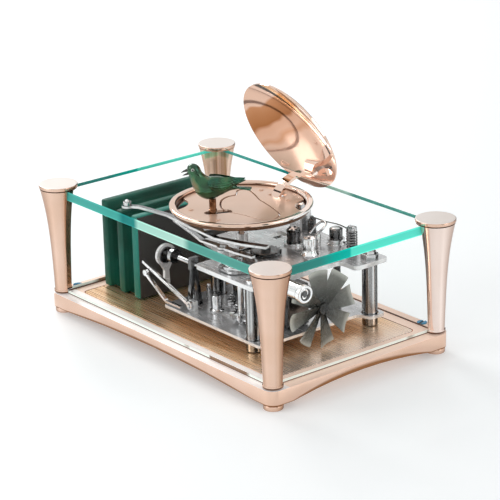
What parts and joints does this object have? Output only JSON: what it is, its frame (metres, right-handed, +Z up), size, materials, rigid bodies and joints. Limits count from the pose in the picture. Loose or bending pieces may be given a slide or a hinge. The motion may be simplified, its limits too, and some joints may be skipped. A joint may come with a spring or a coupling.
{
  "type": "singing bird automaton",
  "caption": "Singing bird automaton: folding bird and domed lid on a round stage over an open movement with bellows and fan, in a glazed case on pillars.",
  "frame": {"origin": "centre of the case's footprint, on the surface that the feet stand on", "axes": "+X along the case from the bellows towards the fan, +Y to the back where the lid is hinged, +Z up"},
  "size_m": [0.1296, 0.0836, 0.0848],
  "materials": {
    "rose_gold": "polished rose gold plate",
    "mirror_rose_gold": "mirror polished rose gold plate",
    "brushed_copper": "brushed lengthways",
    "clear_glass": "clear, with green polished edges",
    "satin_nickel": "fine grained nickel plate",
    "polished_steel": "polished",
    "green_leather": "smooth dyed kid leather",
    "grey_board": "matt dark board",
    "green_enamel": "glossy enamel with a gold sheen",
    "dark_horn": "glossy dark",
    "smoky_resin": "translucent grey"
  },
  "bodies": {
    "case": {"base_frame": "rose_gold", "foot_front_left": "rose_gold", "foot_front_right": "rose_gold", "foot_back_left": "rose_gold", "foot_back_right": "rose_gold", "pillar_front_left": "rose_gold", "pillar_front_right": "rose_gold", "pillar_back_left": "rose_gold", "pillar_back_right": "rose_gold", "pillar_cap_front_left": "rose_gold", "pillar_cap_front_right": "rose_gold", "pillar_cap_back_left": "rose_gold", "pillar_cap_back_right": "rose_gold", "bezel_ring": "rose_gold", "base_plate": "brushed_copper", "pane_front": "clear_glass", "pane_back": "clear_glass", "pane_left": "clear_glass", "pane_right": "clear_glass", "pane_top": "clear_glass", "stage_plate": "rose_gold", "pivot_bracket": "satin_nickel", "lid_hinge_bracket": "satin_nickel", "lower_plate": "satin_nickel", "upper_plate": "satin_nickel", "movement_post_1": "polished_steel", "movement_post_2": "polished_steel", "movement_post_3": "polished_steel", "movement_post_4": "polished_steel", "wind_board": "green_leather", "reservoir_folds": "green_leather", "feeder_folds": "green_leather", "shaft_bridge": "satin_nickel", "governor_housing": "satin_nickel", "whistle_tube": "polished_steel", "pressure_spring": "polished_steel", "return_spring": "polished_steel"},
    "flap": {"stage_flap": "rose_gold"},
    "carriage": {"bird_carriage": "satin_nickel"},
    "bird": {"bird_tube": "rose_gold", "bird_body": "green_enamel"},
    "left_wing": {"wing_left": "green_enamel"},
    "right_wing": {"wing_right": "green_enamel"},
    "beak": {"lower_beak": "dark_horn"},
    "bird_tail": {"tail": "green_enamel"},
    "lid_and_arm": {"lid": "mirror_rose_gold", "lid_arm": "mirror_rose_gold"},
    "reservoir_cover": {"reservoir_board": "green_leather"},
    "feeder_cover": {"feeder_board": "grey_board"},
    "barrel": {"spring_barrel": "polished_steel"},
    "arbor": {"winding_arbor": "polished_steel"},
    "click": {"ratchet_click": "polished_steel"},
    "cams": {"cam_stack": "polished_steel"},
    "cross_shaft": {"eccentric_shaft": "polished_steel"},
    "strap": {"eccentric_strap": "polished_steel"},
    "fan": {"governor_fan": "smoky_resin"},
    "piston": {"whistle_piston": "polished_steel"},
    "long_lever": {"long_cam_lever": "polished_steel"},
    "short_lever": {"short_cam_lever": "polished_steel"},
    "pump_lever": {"feeder_lever": "polished_steel"}
  },
  "joints": [
    {"name": "lid_hinge", "type": "hinge", "parent": "case", "child": "lid_and_arm", "pos_m": [0, 0.0256, 0.0386], "axis": [-1, 0, 0], "range_deg": [-65, 0]},
    {"name": "flap_drop", "type": "slide", "parent": "case", "child": "flap", "axis": [0, 0, 1], "range_m": [-0.0095, 0]},
    {"name": "bird_fold", "type": "hinge", "parent": "case", "child": "carriage", "pos_m": [-0.0003, -0.0119, 0.0423], "axis": [0.9063, -0.4226, 0], "range_deg": [-90, 0]},
    {"name": "tube_turn", "type": "hinge", "parent": "carriage", "child": "bird", "pos_m": [-0.0003, -0.0119, 0.0423], "axis": [0, 0, -1], "range_deg": [-104.1, 0]},
    {"name": "left_wing_flutter", "type": "hinge", "parent": "bird", "child": "left_wing", "pos_m": [0.00261, -0.01426, 0.0576], "axis": [-0.5373, -0.8434, 0], "range_deg": [0, 25]},
    {"name": "right_wing_flutter", "type": "hinge", "parent": "bird", "child": "right_wing", "pos_m": [-0.00321, -0.00954, 0.0576], "axis": [0.7133, 0.7009, 0], "range_deg": [0, 25]},
    {"name": "beak_shut", "type": "hinge", "parent": "bird", "child": "beak", "pos_m": [-0.00584, -0.01874, 0.05805], "axis": [-0.7771, 0.6293, 0], "range_deg": [0, 10]},
    {"name": "tail_wag", "type": "hinge", "parent": "bird", "child": "bird_tail", "pos_m": [0.00593, -0.00421, 0.0549], "axis": [0.7771, -0.6293, 0], "range_deg": [0, 12]},
    {"name": "reservoir_swing", "type": "hinge", "parent": "case", "child": "reservoir_cover", "pos_m": [-0.0495, 0.0203, 0.0234], "axis": [0, 0, -1], "range_deg": [0, 1.2]},
    {"name": "feeder_swing", "type": "hinge", "parent": "case", "child": "feeder_cover", "pos_m": [-0.0354, 0.0203, 0.0234], "axis": [0, 0, 1], "range_deg": [0, 1.6]},
    {"name": "barrel_spin", "type": "hinge", "parent": "case", "child": "barrel", "pos_m": [0.012, 0.0005, 0.0134], "axis": [0, 0, 1], "continuous": true},
    {"name": "cam_spin", "type": "hinge", "parent": "case", "child": "cams", "pos_m": [0.017, -0.0147, 0.0134], "axis": [0, 0, 1], "continuous": true},
    {"name": "winding_spin", "type": "hinge", "parent": "case", "child": "arbor", "pos_m": [0.012, 0.0005, 0.0308], "axis": [0, 0, 1], "continuous": true},
    {"name": "click_lift", "type": "hinge", "parent": "case", "child": "click", "pos_m": [0.00425, -0.0045, 0.0311], "axis": [0, 0, 1], "range_deg": [0, 6]},
    {"name": "cross_shaft_spin", "type": "hinge", "parent": "case", "child": "cross_shaft", "pos_m": [-0.0225, -0.016, 0.0264], "axis": [1, 0, 0], "continuous": true},
    {"name": "strap_rock", "type": "hinge", "parent": "cross_shaft", "child": "strap", "pos_m": [-0.0225, -0.016, 0.0255], "axis": [1, 0, 0], "continuous": true},
    {"name": "fan_spin", "type": "hinge", "parent": "case", "child": "fan", "pos_m": [0.0446, -0.003, 0.0215], "axis": [1, 0, 0], "continuous": true},
    {"name": "piston_slide", "type": "slide", "parent": "case", "child": "piston", "axis": [1, 0, 0], "range_m": [0, 0.006]},
    {"name": "long_lever_swing", "type": "hinge", "parent": "case", "child": "long_lever", "pos_m": [-0.0422, -0.0172, 0.0381], "axis": [0, 0, 1], "range_deg": [0, 1.5]},
    {"name": "short_lever_swing", "type": "hinge", "parent": "case", "child": "short_lever", "pos_m": [0.0062, -0.0132, 0.0346], "axis": [0, 0, 1], "range_deg": [0, 3]},
    {"name": "pump_lever_rock", "type": "hinge", "parent": "case", "child": "pump_lever", "pos_m": [-0.0034, -0.0206, 0.0134], "axis": [0, 1, 0], "range_deg": [0, 2]}
  ],
  "couplings": [
    {"joint": "flap_drop", "follows": "lid_hinge", "m_per_rad": 0.008374},
    {"joint": "bird_fold", "follows": "lid_hinge", "ratio": 1.3846},
    {"joint": "tube_turn", "follows": "lid_hinge", "ratio": 1.6015},
    {"joint": "cam_spin", "follows": "barrel_spin", "ratio": -4},
    {"joint": "strap_rock", "follows": "cross_shaft_spin", "ratio": -1}
  ]
}
